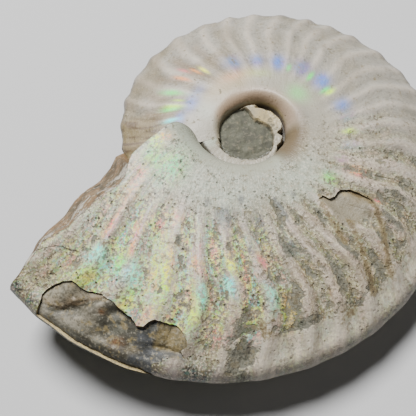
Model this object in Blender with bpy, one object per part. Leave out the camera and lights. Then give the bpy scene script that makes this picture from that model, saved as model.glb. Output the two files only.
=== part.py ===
# Fossil ammonite lying on its lower flank, one solid piece of shell and stone.
# Lengths are metres and angles degrees. The coil is built round the Z axis with its
# mid plane at Z = 0, then tipped into the pose in which it lies still on the ground.
import math

import bmesh
import bpy
from mathutils import Vector

for item in list(bpy.data.objects):
    bpy.data.objects.remove(item, do_unlink=True)

# Coil: radius at the tip of the broken end, growth in one turn, and slow changes in it.
SHELL_RADIUS = 0.055
TURN_GROWTH = 2.455
GROWTH_WAVES = (0.025, -0.004, 0.020, 0.012)
TIP_ANGLE = 213.0

# Whorl section, as fractions of the whorl's outer radius.
HALF_THICKNESS = 0.25
SHOULDER = 0.23
SEAM = 0.17
WALL_TOP = 0.27
FLANK_POWER = 2.305
KEEL_POWER = 0.70
KEEL_ROUNDING = 0.14
# How steeply the umbilical wall leaves the seam, and how late it leans out.
WALL_CLIMB = 0.9
WALL_SPREAD = 1.6

# Ribs: sickle-shaped, at these growth angles on the flank, lower near the keel and on the far half.
RIB_CRESTS = (9, -1, -11, -20, -32, -41.5, -52, -61, -72, -80, -89, -99, -108.5, -118, -128,
              -138, -147.5, -156.5, -165.5, -175, -185, -196, -205, -213.5, -224, -235, -245,
              -256, -269, -283, -295, -307, -319, -331, -343, -355, -367)
STEPS_PER_RIB = 4
RIB_HEIGHT = 0.00040
RIB_VALLEY = 0.35
RIB_UNEVENNESS = 0.22
RIB_LEAN_IN = 34.0
RIB_LEAN_OUT = 30.0
RIB_STRAIGHT = (0.74, 0.78)
RIB_RISE = (0.38, 0.36)
KEEL_RIB_LOSS = 0.45
FAR_RIB_LOSS = 0.62

# Umbilicus: stone filling, the ring of older shell standing round it, and the groove outside that.
FILL_RADIUS = 0.0055
FILL_LEVEL = 0.0047
RING_LEVEL = 0.0056
GROOVE_LEVEL = 0.0040
FILL_ROUGHNESS = 0.00030
NEW_SEAM_RADIUS = 0.0096
OLD_SEAM_RADIUS = 0.0074
SEAM_TURN = 110.0
GROOVE_START = 95.0
GROOVE_FADE = 30.0
GROOVE_DIP = 0.0003
RING_START = -262.0
TOP_RING_PARTS = (0.0, 0.05, 0.14, 0.32, 0.6)
LOW_RING_PARTS = (0.0, 0.20, 0.55)
FILL_START = -342.0
FILL_RINGS = ((0.74, 34), (0.40, 17))

# Broken end: unevenness of the whole face, of its ridge, and hollow of the slope above the ridge.
BREAK_ROUGHNESS = 0.00045
RIDGE_WAVE = 0.0012
SLOPE_HOLLOW = 0.0004

# Outer shell layer, missing inside the two flaked windows.
SHELL_LAYER = 0.00075
THIN_LAYER = 0.00015
LAYER_REACH = 0.004
PRISM_TOP = 0.030

# Pose on the ground: how far the coil tips, the heading that sinks, the flat worn under it.
REST_TILT = 6.22
REST_HEADING = -6.7
REST_FLAT = 0.00040

# Pale nacre over stone, seen as one colour.
SHELL_COLOUR = (0.60, 0.56, 0.48, 1.0)
SHELL_ROUGHNESS = 0.42
SMOOTH_ANGLE = 35.0

UPPER_ROWS = (SEAM, 0.19, 0.21, 0.25, 0.31, 0.42, 0.475, 0.53, 0.63, 0.73, 0.82, 0.90, 0.96, 0.99)
LOWER_ROWS = (0.97, 0.89, 0.78, 0.63, 0.46, 0.31, 0.23, SEAM)
ROWS = [(rho, 1) for rho in UPPER_ROWS] + [(1.0, 0)] + [(rho, -1) for rho in LOWER_ROWS]
KEEL = len(UPPER_ROWS)
TOP_CONTACT = 5
LOW_CONTACT = len(ROWS) - 4

# Growth angle of the broken end on each row, and of the line on the older whorl under it.
END_ANGLES = (18, 20, 22.5, 23.5, 18, 12.5, 4.5, 1.8, 1.5, 0.5, 2, 0.5, 0, 0, 0,
              1, 3, 4, 5, 9, 15, 17, 17)
CONTACT_ANGLES = (18, 18, 18, 18, 18, 18, 22, 24, 24, 22, 20, 19, 20, 24, 30,
                  25, 20, 17, 17, 17, 17, 17, 17)
# Growth angle of the ridge across the broken face at mid height, from row 0.475 outwards.
RIDGE_ANGLES = (24.5, 20, 14, 10, 7, 3.5, 1.5, 0.5)


def smooth(value):
    value = min(1.0, max(0.0, value))
    return value * value * (3.0 - 2.0 * value)


def whorl_radius(growth):
    turns = growth / 360.0
    power = turns * math.log(TURN_GROWTH)
    for order, wave in enumerate(GROWTH_WAVES, start=1):
        power += wave * math.sin(math.pi * order * (turns + 1.0))
    return SHELL_RADIUS * math.exp(power)


def half_thickness(rho):
    across = min(1.0, max(0.0, (rho - SHOULDER) / (1.0 - SHOULDER)))
    power = KEEL_POWER - KEEL_ROUNDING * smooth((across - 0.90) / 0.10)
    return HALF_THICKNESS * (1.0 - across ** FLANK_POWER) ** power


def rib_shift(rho):
    inner, outer = RIB_STRAIGHT
    if rho < inner:
        return RIB_LEAN_IN * (inner - max(rho, 0.31)) ** 1.15
    if rho > outer:
        return RIB_LEAN_OUT * (rho - outer) ** 1.5
    return 0.0


def column_angles():
    # Columns stand on each rib's crest, in each valley and between, and at both ends of the turn.
    angles = [0.0]
    for newer, older in zip(RIB_CRESTS, RIB_CRESTS[1:]):
        for step in range(STEPS_PER_RIB):
            angle = newer + (older - newer) * step / STEPS_PER_RIB
            if -360.0 < angle < 0.0:
                angles.append(angle)
    angles.append(-360.0)
    return angles[::-1]


COLUMN_ANGLES = column_angles()
COLUMNS = len(COLUMN_ANGLES) - 1


def rib_number(base):
    # Ribs counted back along the whorl, whole at each crest.
    for index, (newer, older) in enumerate(zip(RIB_CRESTS, RIB_CRESTS[1:])):
        if base >= older:
            return index + (newer - base) / (newer - older)
    return len(RIB_CRESTS) - 1.0


def rib_relief(growth, rho):
    # Height of the ribs over the smooth section, by the rib line that runs through this point.
    number = rib_number(growth - rib_shift(rho))
    start, width = RIB_RISE
    strength = smooth((rho - start) / width) * (1.0 - KEEL_RIB_LOSS * smooth((rho - 0.93) / 0.07))
    far = smooth((-growth - 110.0) / 70.0) * smooth((1.0 - rho) / 0.16)
    strength *= 1.0 - FAR_RIB_LOSS * far
    strength *= 1.0 + RIB_UNEVENNESS * math.sin(2.4 * round(number) + 2.5)
    return RIB_HEIGHT * strength * (math.cos(2.0 * math.pi * number) - RIB_VALLEY)


def seam_radius(growth):
    # The seam winds inwards from the broken end, then stays near and closes on the filling.
    if growth > -SEAM_TURN:
        return NEW_SEAM_RADIUS + (NEW_SEAM_RADIUS - OLD_SEAM_RADIUS) * growth / SEAM_TURN
    narrowing = smooth((-growth - 180.0) / 90.0)
    return OLD_SEAM_RADIUS + (FILL_RADIUS - OLD_SEAM_RADIUS) * narrowing


def groove_share(growth):
    return smooth((-growth - GROOVE_START) / GROOVE_FADE)


def place(growth, radius, height):
    angle = math.radians(TIP_ANGLE - growth)
    return Vector((radius * math.cos(angle), radius * math.sin(angle), height))


def flank_point(growth, rho, side, relief):
    # Point on the whorl outside its shoulder, moved off the smooth section by the relief.
    outer = whorl_radius(growth)
    if side == 0:
        return place(growth, outer + relief, 0.0)
    low, high = max(SHOULDER, rho - 0.004), min(1.0, rho + 0.004)
    rise = half_thickness(high) - half_thickness(low)
    slope = Vector((-rise, high - low)).normalized()
    height = half_thickness(rho) * outer + relief * slope.y
    return place(growth, rho * outer + relief * slope.x, side * height)


def wall_point(growth, rho, side):
    # Point on the umbilical wall, which climbs from the seam and rounds over the shoulder.
    outer = whorl_radius(growth)
    top = HALF_THICKNESS * outer
    foot = min(top, RING_LEVEL)
    foot += (GROOVE_LEVEL - foot) * groove_share(growth)
    turn = min(1.0, (rho - SEAM) / (WALL_TOP - SEAM))
    climb = math.sin(0.5 * math.pi * turn) ** WALL_CLIMB
    spread = turn ** WALL_SPREAD
    seam = seam_radius(growth)
    lip = max(WALL_TOP * outer, seam + 0.0002 * (1.0 + turn))
    return place(growth, seam + (lip - seam) * spread, side * (foot + (top - foot) * climb))


def shell_point(row, growth):
    rho, side = ROWS[row]
    if rho < WALL_TOP:
        return wall_point(growth, rho, side)
    point = flank_point(growth, rho, side, rib_relief(growth, rho))
    least = FILL_RADIUS + 0.0001 * min(row, len(ROWS) - 1 - row)
    if point.xy.length < least:
        point = place(growth, least, point.z)
    return point


def row_angle(column, row, base):
    rho = ROWS[row][0]
    shift = rib_shift(rho)
    back = smooth(1.0 - column / (3.0 * STEPS_PER_RIB))
    front = smooth(1.0 - (COLUMNS - column) / (1.5 * STEPS_PER_RIB))
    shift += (CONTACT_ANGLES[row] - shift) * back + (END_ANGLES[row] - shift) * front
    return base + shift


def stitch(mesh, first, second):
    # Triangles between two runs of vertices, always closing the shorter diagonal.
    i, j = 0, 0
    while i < len(first) - 1 or j < len(second) - 1:
        go_first = j == len(second) - 1
        if not go_first and i < len(first) - 1:
            ahead = (first[i + 1].co - second[j].co).length
            go_first = ahead <= (second[j + 1].co - first[i].co).length
        corners = [first[i], second[j], first[i + 1] if go_first else second[j + 1]]
        if len(set(corners)) == 3:
            mesh.faces.new(corners)
        if go_first:
            i += 1
        else:
            j += 1


def lump(x, y):
    waves = math.sin(900.0 * x + 1.3) * math.cos(1100.0 * y) + math.sin(1900.0 * y - 700.0 * x)
    return 0.5 * waves


def rough(point):
    x, y, z = point * 1000.0
    waves = math.sin(0.9 * x + 1.7 * z) + math.sin(1.3 * y - 1.1 * z + 2.0)
    return 0.5 * (waves + math.sin(1.9 * z + 0.8 * x - 1.2 * y))


def build_bowl(mesh, columns, side, contact_rows):
    # Ring of older shell inside the seam, then the stone filling of the umbilicus.
    start = next(i for i, angle in enumerate(COLUMN_ANGLES) if angle > RING_START)
    seam_row = contact_rows[0]
    parts = TOP_RING_PARTS if side > 0 else LOW_RING_PARTS
    band = []
    for column in range(start, COLUMNS):
        growth = row_angle(column, seam_row, COLUMN_ANGLES[column])
        seam = columns[column][seam_row]
        reach = seam.co.xy.length
        line = []
        for part in parts:
            radius = FILL_RADIUS + (reach - FILL_RADIUS) * part
            crest = RING_LEVEL - (RING_LEVEL - abs(seam.co.z)) * (part if part > 0.5 else 0.0)
            level = crest if part else FILL_LEVEL
            level -= GROOVE_DIP * groove_share(growth) * (1.0 - part)
            if column == start:
                line.append(seam)
            else:
                line.append(mesh.verts.new(place(growth, radius, side * level)))
        line.append(seam)
        band.append(line)
    band.append([columns[0][row] for row in contact_rows])
    for near, far in zip(band, band[1:]):
        for step in range(len(parts)):
            corners = [near[step], near[step + 1], far[step + 1], far[step]]
            corners = list(dict.fromkeys(corners))
            if len(corners) > 2:
                mesh.faces.new(corners)
    rim = [columns[column][seam_row] for column in range(start)] + [line[0] for line in band[:-1]]
    rim.append(rim[0])
    rings = []
    for share, number in FILL_RINGS:
        ring = []
        for spot in range(number):
            growth = FILL_START + 360.0 * spot / number
            point = place(growth, FILL_RADIUS * share, 0.0)
            point *= 1.0 + 0.07 * math.sin(3.7 * spot + side)
            level = FILL_LEVEL + FILL_ROUGHNESS * lump(point.x, point.y)
            ring.append(mesh.verts.new((point.x, point.y, side * level)))
        ring.append(ring[0])
        rings.append(ring)
    stitch(mesh, rim, rings[0])
    stitch(mesh, rings[0], rings[1])
    middle = mesh.verts.new((0.0, 0.0, side * FILL_LEVEL))
    for near, far in zip(rings[1], rings[1][1:]):
        mesh.faces.new((near, far, middle))


def build_broken_face(mesh, columns):
    # Leaning fracture: flank edge down to a ridge at mid height, then back to the lower flank.
    last, first = columns[-1], columns[0]
    whole = len(mesh.faces)
    mesh.faces.ensure_lookup_table()
    ridge, slope = [], []
    for index, growth in enumerate(RIDGE_ANGLES):
        row = TOP_CONTACT + 1 + index
        radius = ROWS[row][0] * whorl_radius(growth)
        height = RIDGE_WAVE * math.sin(1.9 * index) * (1.0 - index / len(RIDGE_ANGLES))
        ridge.append(mesh.verts.new(place(growth, radius, height)))
        middle = (ridge[-1].co + last[row].co) * 0.5
        inward = SLOPE_HOLLOW * math.sin(2.3 * index + 0.6)
        slope.append(mesh.verts.new(middle + Vector((inward, -inward, -inward))))
    ridge.append(last[KEEL])
    slope.append(last[KEEL])
    edge = [last[row] for row in range(TOP_CONTACT + 1, KEEL + 1)]
    stitch(mesh, edge, slope)
    stitch(mesh, slope, ridge)
    contact = [first[row] for row in range(KEEL, TOP_CONTACT - 1, -1)]
    lip = [last[row] for row in range(TOP_CONTACT + 1, -1, -1)]
    stitch(mesh, [ridge[0], slope[0]] + lip, [ridge[0]] + contact)
    under = [last[row] for row in range(KEEL, len(ROWS))]
    older = [first[row] for row in range(KEEL, LOW_CONTACT + 1)]
    stitch(mesh, under, ridge[::-1] + older)
    mesh.faces.ensure_lookup_table()
    broken = set(mesh.faces[whole:])
    inner = [edge for edge in mesh.edges if broken.issuperset(edge.link_faces)]
    made = bmesh.ops.subdivide_edges(mesh, edges=inner, cuts=1)["geom_inner"]
    mesh.normal_update()
    for vertex in made:
        if isinstance(vertex, bmesh.types.BMVert):
            vertex.co += BREAK_ROUGHNESS * rough(vertex.co) * vertex.normal


def build_shell():
    mesh = bmesh.new()
    columns = []
    for column, base in enumerate(COLUMN_ANGLES):
        line = []
        for row in range(len(ROWS)):
            growth = row_angle(column, row, base)
            line.append(mesh.verts.new(shell_point(row, growth)))
        columns.append(line)
    for shared, kept in ((columns[0][TOP_CONTACT], columns[-1][0]),
                         (columns[0][LOW_CONTACT], columns[-1][-1])):
        mesh.verts.remove(shared)
        columns[0][columns[0].index(shared)] = kept
    for near, far in zip(columns, columns[1:]):
        for row in range(len(ROWS) - 1):
            mesh.faces.new((near[row], near[row + 1], far[row + 1], far[row]))
    build_bowl(mesh, columns, 1, range(0, TOP_CONTACT + 1))
    build_bowl(mesh, columns, -1, range(len(ROWS) - 1, LOW_CONTACT - 1, -1))
    build_broken_face(mesh, columns)
    bmesh.ops.remove_doubles(mesh, verts=mesh.verts, dist=0.00001)
    return add_object("ammonite", mesh)


def wall_between(mesh, near, far):
    for i in range(len(near)):
        j = (i + 1) % len(near)
        mesh.faces.new((near[i], near[j], far[j], far[i]))


def add_object(name, mesh):
    bmesh.ops.recalc_face_normals(mesh, faces=mesh.faces)
    data = bpy.data.meshes.new(name)
    mesh.to_mesh(data)
    mesh.free()
    item = bpy.data.objects.new(name, data)
    bpy.context.scene.collection.objects.link(item)
    return item


def build_prism(name, outline, floor):
    # Upright prism over an outline given as growth angle and share of the whorl radius.
    mesh = bmesh.new()
    top, low = [], []
    for growth, rho in outline:
        point = place(growth, rho * whorl_radius(growth), 0.0)
        top.append(mesh.verts.new((point.x, point.y, PRISM_TOP)))
        low.append(mesh.verts.new((point.x, point.y, floor(point.x))))
    mesh.faces.new(top)
    mesh.faces.new(low)
    wall_between(mesh, top, low)
    return add_object(name, mesh)


def build_layer(name, columns, rows, depth):
    # Slab standing on the surface under the shell layer, wider than the window it is cut by.
    # Its corners lie square under and over those of the shell, so its floor runs parallel.
    mesh = bmesh.new()
    sheets = []
    for lift in (False, True):
        sheet = []
        for column in columns:
            line = []
            for row in rows:
                rho, side = ROWS[row]
                growth = row_angle(column, row, COLUMN_ANGLES[column])
                relief = rib_relief(growth, rho)
                relief += LAYER_REACH if lift else -depth(growth, rho)
                line.append(mesh.verts.new(flank_point(growth, rho, side, relief)))
            sheet.append(line)
        sheets.append(sheet)
        for near, far in zip(sheet, sheet[1:]):
            for i in range(len(rows) - 1):
                mesh.faces.new((near[i], near[i + 1], far[i + 1], far[i]))
    rims = []
    for sheet in sheets:
        rim = list(sheet[0]) + [line[-1] for line in sheet[1:]]
        rim += sheet[-1][-2::-1] + [line[0] for line in sheet[-2:0:-1]]
        rims.append(rim)
    wall_between(mesh, rims[0], rims[1])
    return add_object(name, mesh)


def cut(item, cutter, operation="DIFFERENCE"):
    change = item.modifiers.new(cutter.name, "BOOLEAN")
    change.operation = operation
    change.solver = "EXACT"
    change.object = cutter
    bpy.context.view_layer.objects.active = item
    bpy.ops.object.modifier_apply(modifier=change.name)
    bpy.data.objects.remove(cutter, do_unlink=True)


def lay_down(item):
    # Tip the coil into its pose, wear a small flat where it touches, and centre its footprint.
    tilt, heading = math.radians(REST_TILT), math.radians(REST_HEADING)
    level = math.sin(tilt)
    down = Vector((level * math.cos(heading), level * math.sin(heading), -math.cos(tilt)))
    turn = down.rotation_difference(Vector((0.0, 0.0, -1.0))).to_matrix().to_4x4()
    mesh = bmesh.new()
    mesh.from_mesh(item.data)
    bmesh.ops.transform(mesh, matrix=turn, verts=mesh.verts)
    floor = min(vertex.co.z for vertex in mesh.verts) + REST_FLAT
    everything = mesh.verts[:] + mesh.edges[:] + mesh.faces[:]
    bmesh.ops.bisect_plane(mesh, geom=everything, dist=0.000001, plane_co=(0.0, 0.0, floor),
                           plane_no=(0.0, 0.0, 1.0), clear_inner=True)
    rims = [edge for edge in mesh.edges if edge.is_boundary]
    bmesh.ops.triangle_fill(mesh, use_beauty=True, use_dissolve=False, edges=rims)
    across = [vertex.co.x for vertex in mesh.verts]
    along = [vertex.co.y for vertex in mesh.verts]
    middle = Vector((min(across) + max(across), min(along) + max(along), 2.0 * floor)) * 0.5
    bmesh.ops.translate(mesh, vec=-middle, verts=mesh.verts)
    bmesh.ops.recalc_face_normals(mesh, faces=mesh.faces)
    mesh.to_mesh(item.data)
    mesh.free()


def finish(item):
    item.data.shade_smooth()
    item.data.set_sharp_from_angle(angle=math.radians(SMOOTH_ANGLE))
    material = bpy.data.materials.new("nacre")
    material.use_nodes = True
    surface = material.node_tree.nodes["Principled BSDF"]
    surface.inputs["Base Color"].default_value = SHELL_COLOUR
    surface.inputs["Roughness"].default_value = SHELL_ROUGHNESS
    surface.inputs["Metallic"].default_value = 0.0
    item.data.materials.clear()
    item.data.materials.append(material)


# Window at the lower left: the shell has flaked off the keel just behind the broken end.
KEEL_WINDOW = (
    (-7.5, 0.965), (-6.5, 0.930), (-7.5, 0.884), (-10.0, 0.849), (-13.0, 0.849), (-18.0, 0.829),
    (-21.0, 0.834), (-26.5, 0.854), (-28.5, 0.869), (-30.0, 0.869), (-32.5, 0.839),
    (-37.0, 0.834), (-39.0, 0.854), (-41.0, 0.884), (-38.5, 0.930), (-40.0, 0.980),
    (-41.0, 1.090), (-25.0, 1.090), (-9.0, 1.090))
# Window on the right of the flank: a steep edge on the inside that fades outwards.
FLANK_WINDOW = (
    (-88.0, 0.47), (-93.0, 0.485), (-98.0, 0.527), (-103.0, 0.527), (-106.5, 0.547),
    (-108.5, 0.582), (-109.0, 0.638), (-108.0, 0.690), (-106.0, 0.800), (-88.0, 0.800))


def keel_floor(across):
    # The window reaches lower on the keel towards its right-hand end.
    return -0.0005 - 0.167 * (across + 0.035)


def keel_depth(growth, rho):
    return SHELL_LAYER


def flank_depth(growth, rho):
    fade = smooth((0.76 - rho) / 0.18) * smooth((-growth - 90.0) / 10.0)
    return THIN_LAYER + (SHELL_LAYER - THIN_LAYER) * fade


def columns_between(low, high):
    return [i for i, angle in enumerate(COLUMN_ANGLES) if low <= angle <= high]


ammonite = build_shell()
window = build_layer("keel_window", columns_between(-46.0, 0.0), range(10, 19), keel_depth)
cut(window, build_prism("keel_outline", KEEL_WINDOW, keel_floor), "INTERSECT")
cut(ammonite, window)
window = build_layer("flank_window", columns_between(-119.0, -84.0), range(5, 12), flank_depth)
cut(window, build_prism("flank_outline", FLANK_WINDOW, lambda across: 0.0), "INTERSECT")
cut(ammonite, window)
lay_down(ammonite)
finish(ammonite)
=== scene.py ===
import math

import bmesh
import bpy
import numpy as np
from mathutils import Matrix, Vector, noise


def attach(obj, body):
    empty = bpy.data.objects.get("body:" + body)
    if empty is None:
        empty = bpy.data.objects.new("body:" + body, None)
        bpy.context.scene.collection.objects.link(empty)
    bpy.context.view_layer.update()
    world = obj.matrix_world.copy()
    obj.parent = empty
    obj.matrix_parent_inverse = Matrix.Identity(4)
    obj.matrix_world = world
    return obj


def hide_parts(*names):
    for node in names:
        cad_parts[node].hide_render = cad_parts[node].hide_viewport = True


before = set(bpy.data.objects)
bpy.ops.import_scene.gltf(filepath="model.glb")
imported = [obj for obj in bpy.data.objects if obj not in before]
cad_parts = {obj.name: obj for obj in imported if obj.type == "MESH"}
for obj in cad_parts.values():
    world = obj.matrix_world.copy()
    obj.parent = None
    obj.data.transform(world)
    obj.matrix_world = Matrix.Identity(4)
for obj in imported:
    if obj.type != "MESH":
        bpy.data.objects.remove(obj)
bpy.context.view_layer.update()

# Camera: the view from above the near flank, with the coil a little left of the lens axis.
# The coil's own mid plane is the reference, because the photograph was measured against it.
COIL_TILT = math.radians(6.22)
COIL_HEADING = math.radians(-6.7)
COIL_CENTRE = Vector((0.003184, 0.00918, 0.011921))
VIEW_HEIGHT = math.radians(65)
VIEW_ROLL = math.radians(-1.5)
VIEW_DISTANCE = 0.2156
VIEW_ANGLE = math.radians(22)
VIEW_OFFSET = (0.00784, 0.01283)

sink = math.sin(COIL_TILT)
coil_down = Vector((sink * math.cos(COIL_HEADING), sink * math.sin(COIL_HEADING), -math.cos(COIL_TILT)))
coil_turn = coil_down.rotation_difference(Vector((0, 0, -1))).to_matrix()

back = Vector((0, -math.cos(VIEW_HEIGHT), math.sin(VIEW_HEIGHT)))
right = Vector((1, 0, 0))
up = back.cross(right)
turned_right = right * math.cos(VIEW_ROLL) + up * math.sin(VIEW_ROLL)
turned_up = up * math.cos(VIEW_ROLL) - right * math.sin(VIEW_ROLL)
eye = back * VIEW_DISTANCE - turned_right * VIEW_OFFSET[0] - turned_up * VIEW_OFFSET[1]

lens = bpy.data.cameras.new("camera")
lens.sensor_width = 36
lens.lens = 18 / math.tan(VIEW_ANGLE / 2)
lens.clip_start = 0.01
camera = bpy.data.objects.new("camera", lens)
bpy.context.scene.collection.objects.link(camera)
look = Matrix((turned_right, turned_up, back)).transposed()
place = coil_turn @ look
camera.matrix_world = Matrix.Translation(COIL_CENTRE + coil_turn @ eye) @ place.to_4x4()
bpy.context.scene.camera = camera


# Shell: a planispiral coil of pearly shell filled with stone. It grew as one tube, so it is one
# closed skin here: flanks and keel of the last turn, umbilicus on both sides, and broken end.
SHELL_RADIUS = 0.055
TURN_GROWTH = 2.455
GROWTH_WAVES = (0.025, -0.004, 0.02, 0.012)
TIP_ANGLE = 213
HALF_THICKNESS = 0.25
SHOULDER = 0.23
SEAM = 0.17
WALL_TOP = 0.27
FLANK_POWER = 2.305
KEEL_POWER = 0.7
KEEL_ROUNDING = 0.14
RIB_HEIGHT = 0.0004
RIB_LEAN_IN = 34
RIB_LEAN_OUT = 30
RIB_STRAIGHT = (0.74, 0.78)
# Growth angle of each rib's crest on the flank, from the broken end back.
RIB_CRESTS = (9, -1, -11, -20, -32, -41.5, -52, -61, -72, -80, -89, -99, -108.5, -118, -128, -138,
              -147.5, -156.5, -165.5, -175, -185, -196, -205, -213.5, -224, -235, -245, -256, -269,
              -283, -295, -307, -319, -331, -343, -355, -367)
SEAM_RADIUS = 0.0096
SEAM_WIDENING = 0.0022
SEAM_STEP = 110
LATER_SEAM = 0.0074
FILL_RADIUS = 0.0055
FILL_LEVEL = 0.0046
RING_LEVEL = 0.0057
GROOVE_LEVEL = 0.0037
SLIT_DEPTH = 0.0007
WAVINESS = 0.00016
LOW_FLANK_DROP = 0.00022
LOW_FLANK_SQUASH = 0.034
NEAR_STEP = 0.48
FAR_STEP = 0.78
WALL_STEPS = 9
FLANK_STEPS = 56
LOW_FLANK_STEPS = 40
LOW_WALL_STEPS = 5

# Growth angle of the broken end, and of its foot on the older whorl, against share of radius.
TOP_END = ((0.17, 0.19, 0.21, 0.25, 0.31, 0.42, 0.44, 0.475, 0.5, 0.53, 0.577, 0.63, 0.73, 0.82,
            0.9, 0.96, 1),
           (18, 20, 22.5, 23.5, 18, 11.5, 9.2, 4.5, 2.8, 1.8, 2.4, 1.5, 0.5, 2, 0.5, 0, 0))
LOW_END = ((0.17, 0.23, 0.31, 0.46, 0.63, 0.78, 0.89, 0.97, 1), (17, 17, 15, 9, 5, 4, 3, 1, 0))
TOP_FOOT = ((0.17, 0.42, 0.53, 0.63, 0.73, 0.82, 0.9, 0.96, 0.99, 1),
            (18, 18, 24, 24, 22, 20, 19, 20, 24, 30))
LOW_FOOT = ((0.17, 0.78, 0.89, 0.97, 1), (17, 17, 20, 25, 30))


def ease(value, start, end):
    # 0 at the start, 1 at the end and smooth between; the end may be below the start.
    share = np.clip((value - start) / (end - start), 0, 1)
    return share * share * (3 - 2 * share)


def whorl_radius(growth):
    turns = np.asarray(growth) / 360
    power = turns * math.log(TURN_GROWTH)
    for order, wave in enumerate(GROWTH_WAVES, start=1):
        power = power + wave * np.sin(math.pi * order * (turns + 1))
    return SHELL_RADIUS * np.exp(power)


def half_thickness(rho):
    across = np.clip((np.asarray(rho) - SHOULDER) / (1 - SHOULDER), 0, 1)
    power = KEEL_POWER - KEEL_ROUNDING * ease(across, 0.9, 1)
    return HALF_THICKNESS * (1 - across ** FLANK_POWER) ** power


def rib_shift(rho):
    rho = np.asarray(rho, float)
    inner, outer = RIB_STRAIGHT
    lean_in = RIB_LEAN_IN * np.clip(inner - np.maximum(rho, 0.31), 0, 1) ** 1.15
    lean_out = RIB_LEAN_OUT * np.clip(rho - outer, 0, 1) ** 1.5
    return lean_in + lean_out


def rib_number(growth, rho):
    # Whole numbers at the crests, counted back from the broken end along the leaning rib lines.
    base = growth - rib_shift(rho)
    number = np.interp(-base, [-angle for angle in RIB_CRESTS], np.arange(len(RIB_CRESTS)))
    return number - np.maximum(base - RIB_CRESTS[0], 0) / 10


def rib_relief(growth, rho):
    number = rib_number(growth, rho)
    crest = np.cos(2 * math.pi * number) + 0.16 * np.cos(4 * math.pi * number)
    far = ease(-growth, 110, 180)
    rise = ease(rho, 0.38, 0.74) * (1 - 0.62 * far * ease(rho, 1, 0.84))
    strength = rise * (1 - (0.45 + 0.35 * (1 - far)) * ease(rho, 0.91, 0.99))
    strength = strength * (1 + 0.3 * np.sin(2.4 * np.round(number) + 2.5))
    return RIB_HEIGHT * strength * (crest - 0.35)


def cloud(points, size, seed):
    # Smooth noise between about -1 and 1 at each point, with lumps of the given size.
    shift = Vector((seed * 7.3, seed * 3.1, seed * 5.7))
    return np.array([noise.noise(Vector(point) / size + shift) for point in points])


def spot_at(growth, radius, height):
    angle = np.radians(TIP_ANGLE - growth)
    return np.stack([radius * np.cos(angle), radius * np.sin(angle), height + 0 * radius], -1)


def seam_radius(growth):
    # Where the last turn's wall meets the older whorl: a widening spiral, a step, then the stone.
    older = SEAM_RADIUS + SEAM_WIDENING * growth / SEAM_STEP
    later = LATER_SEAM + (FILL_RADIUS - LATER_SEAM) * ease(-growth, 180, 270)
    return np.where(growth > -SEAM_STEP, older, later)


def flank_point(growth, rho, side, relief):
    outer = whorl_radius(growth)
    low, high = np.maximum(SHOULDER, rho - 0.004), np.minimum(1, rho + 0.004)
    rise = (half_thickness(high) - half_thickness(low)) / (high - low)
    length = np.sqrt(rise * rise + 1)
    out, lift = -rise / length, 1 / length
    keel = ease(rho, 0.992, 1)
    out, lift = out + (1 - out) * keel, lift * (1 - keel)
    height = side * (half_thickness(rho) * outer + relief * lift)
    return spot_at(growth, rho * outer + relief * out, height)


def slit_depth(growth):
    return SLIT_DEPTH * ease(growth, -25, 5)


def foot_level(growth):
    # Height where the umbilical wall stands: on the older whorl, then in a groove, then on the fill.
    foot = np.minimum(HALF_THICKNESS * whorl_radius(growth), RING_LEVEL) - slit_depth(growth)
    foot = foot + (GROOVE_LEVEL - foot) * ease(-growth, 95, 125)
    return foot + (FILL_LEVEL - foot) * ease(-growth, 205, 245)


def wall_point(growth, rho, side):
    outer = whorl_radius(growth)
    foot = foot_level(growth)
    turn = np.clip((rho - SEAM) / (WALL_TOP - SEAM), 0, 1)
    climb = np.sin(0.5 * math.pi * turn) ** 0.9
    spread = turn ** 1.6
    seam = seam_radius(growth)
    lip = np.maximum(WALL_TOP * outer, seam + 0.0002 * (1 + turn))
    height = side * (foot + (HALF_THICKNESS * outer - foot) * climb)
    return spot_at(growth, seam + (lip - seam) * spread, height)


column_base = [0]
while column_base[-1] > -360:
    step = NEAR_STEP + (FAR_STEP - NEAR_STEP) * float(ease(-column_base[-1], 110, 170))
    column_base.append(column_base[-1] - step)
column_base = np.array(column_base[::-1])
column_base *= -360 / column_base[0]
column_base = np.append(column_base[:-1], 0)

wall_rho = np.linspace(SEAM, WALL_TOP, WALL_STEPS, endpoint=False)
flank_rho = WALL_TOP + (1 - WALL_TOP) * (1 - (1 - np.linspace(0, 1, FLANK_STEPS + 1)) ** 1.2)
low_rho = WALL_TOP + (1 - WALL_TOP) * (1 - np.linspace(0, 1, LOW_FLANK_STEPS + 1) ** 1.2)
low_wall = np.linspace(WALL_TOP, SEAM, LOW_WALL_STEPS + 1)[1:]
row_rho = np.concatenate([wall_rho, flank_rho, low_rho[1:], low_wall])
row_side = np.concatenate([np.ones(WALL_STEPS + FLANK_STEPS), [0],
                           -np.ones(LOW_FLANK_STEPS + LOW_WALL_STEPS)])
KEEL_ROW = WALL_STEPS + FLANK_STEPS


def row_growth(base, rho, side):
    shift = rib_shift(rho)
    end = np.where(side >= 0, np.interp(rho, *TOP_END), np.interp(rho, *LOW_END))
    foot = np.where(side >= 0, np.interp(rho, *TOP_FOOT), np.interp(rho, *LOW_FOOT))
    back_share = ease(base, -326, -360)
    front_share = ease(base, -15, 0)
    return base + shift + (foot - shift) * back_share + (end - shift) * front_share


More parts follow.
